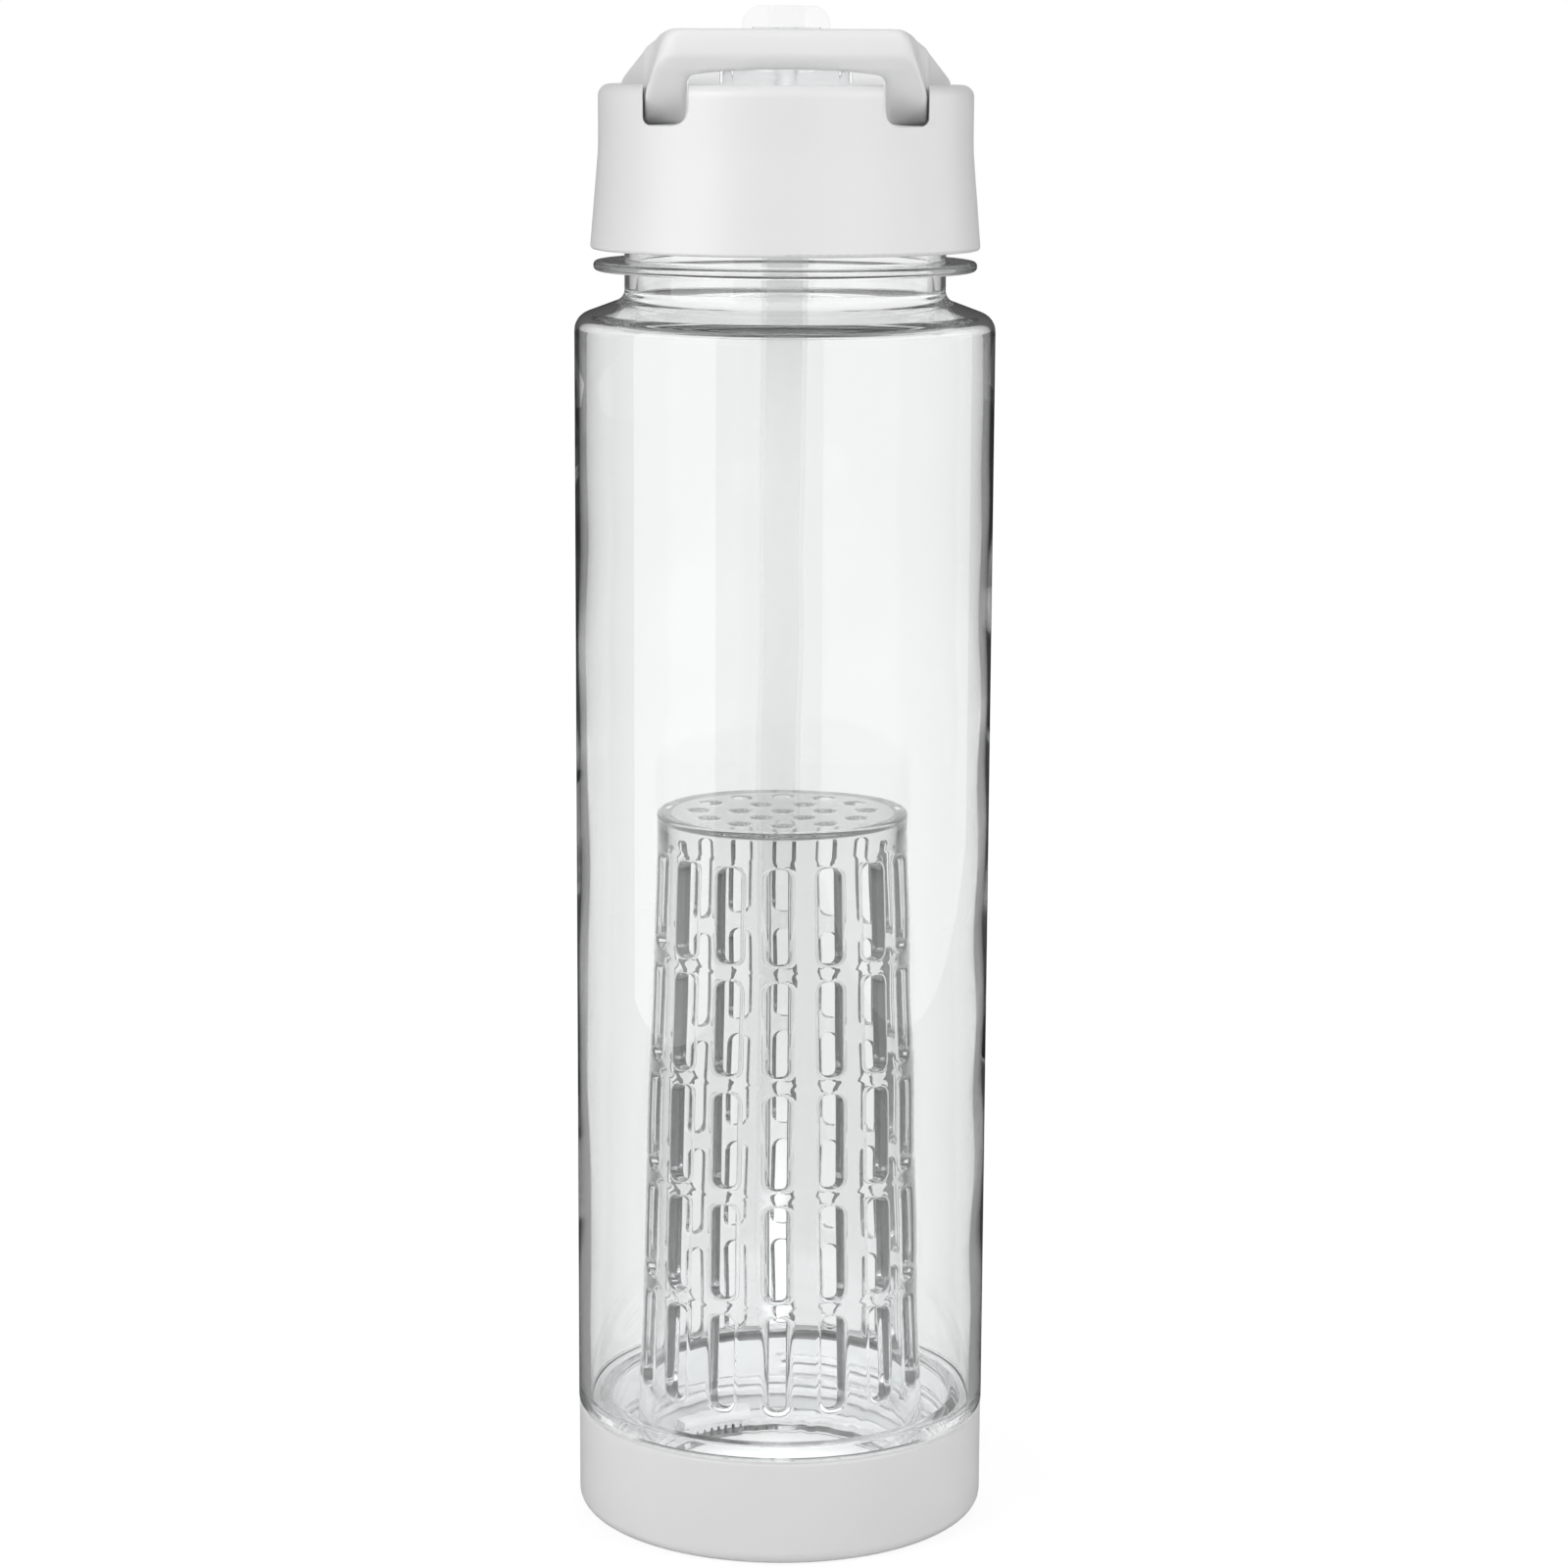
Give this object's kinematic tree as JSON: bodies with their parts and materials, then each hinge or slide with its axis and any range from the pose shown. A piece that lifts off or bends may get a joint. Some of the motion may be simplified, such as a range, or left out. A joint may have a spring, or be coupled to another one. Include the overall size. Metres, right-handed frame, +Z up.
{
  "type": "fruit infuser water bottle",
  "caption": "Clear drinking bottle with a screw lid, carry handle and flip spout with straw, and a screw base that holds a slotted fruit infuser.",
  "frame": {"origin": "middle of the base's foot, on the surface that the bottle stands on", "axes": "+Z up along the bottle's axis, -Y to the front where the carry handle lies, +X to the right seen from the front"},
  "size_m": [0.07, 0.07, 0.2562],
  "materials": {
    "clear_body": "clear, glossy",
    "clear_infuser": "clear, glossy",
    "clear_spout": "clear, glossy",
    "white_lid": "white, semi-gloss moulding",
    "white_handle": "white, semi-gloss moulding",
    "white_base": "white, semi-gloss moulding",
    "liner": "white, matte",
    "silicone": "translucent white silicone",
    "mouthpiece": "translucent silicone",
    "straw": "translucent polyethylene"
  },
  "bodies": {
    "bottle": {"bottle_body": "clear_body"},
    "lid_seal": {"lid_gasket": "silicone"},
    "lid": {"lid_shell": "white_lid", "lid_liner": "liner", "spout_seal": "silicone", "vent_valve": "silicone", "straw": "straw"},
    "handle": {"carry_handle": "white_handle"},
    "spout": {"flip_spout": "clear_spout", "mouthpiece": "mouthpiece"},
    "base_seal": {"base_gasket": "silicone"},
    "base": {"base_cup": "white_base"},
    "infuser": {"infuser_basket": "clear_infuser"}
  },
  "joints": [
    {"name": "lid_lift", "type": "slide", "parent": "bottle", "child": "lid_seal", "axis": [0, 0, 1], "range_m": [0, 0.0063]},
    {"name": "lid_screw", "type": "hinge", "parent": "lid_seal", "child": "lid", "pos_m": [0, 0, 0.2262], "axis": [0, 0, 1], "range_deg": [0, 450]},
    {"name": "handle_swing", "type": "hinge", "parent": "lid", "child": "handle", "pos_m": [0, 0, 0.2399], "axis": [-1, 0, 0], "range_deg": [0, 120]},
    {"name": "spout_flip", "type": "hinge", "parent": "lid", "child": "spout", "pos_m": [0, 0, 0.2417], "axis": [-1, 0, 0], "range_deg": [0, 90]},
    {"name": "base_drop", "type": "slide", "parent": "bottle", "child": "base_seal", "axis": [0, 0, -1], "range_m": [0, 0.0051]},
    {"name": "base_screw", "type": "hinge", "parent": "base_seal", "child": "base", "pos_m": [0, 0, 0.009], "axis": [0, 0, -1], "range_deg": [0, 450]},
    {"name": "infuser_twist", "type": "hinge", "parent": "base", "child": "infuser", "pos_m": [0, 0, 0.0032], "axis": [0, 0, 1], "range_deg": [0, 60]}
  ],
  "couplings": [
    {"joint": "lid_lift", "follows": "lid_screw", "m_per_rad": 0.00079577},
    {"joint": "base_drop", "follows": "base_screw", "m_per_rad": 0.00063662}
  ]
}
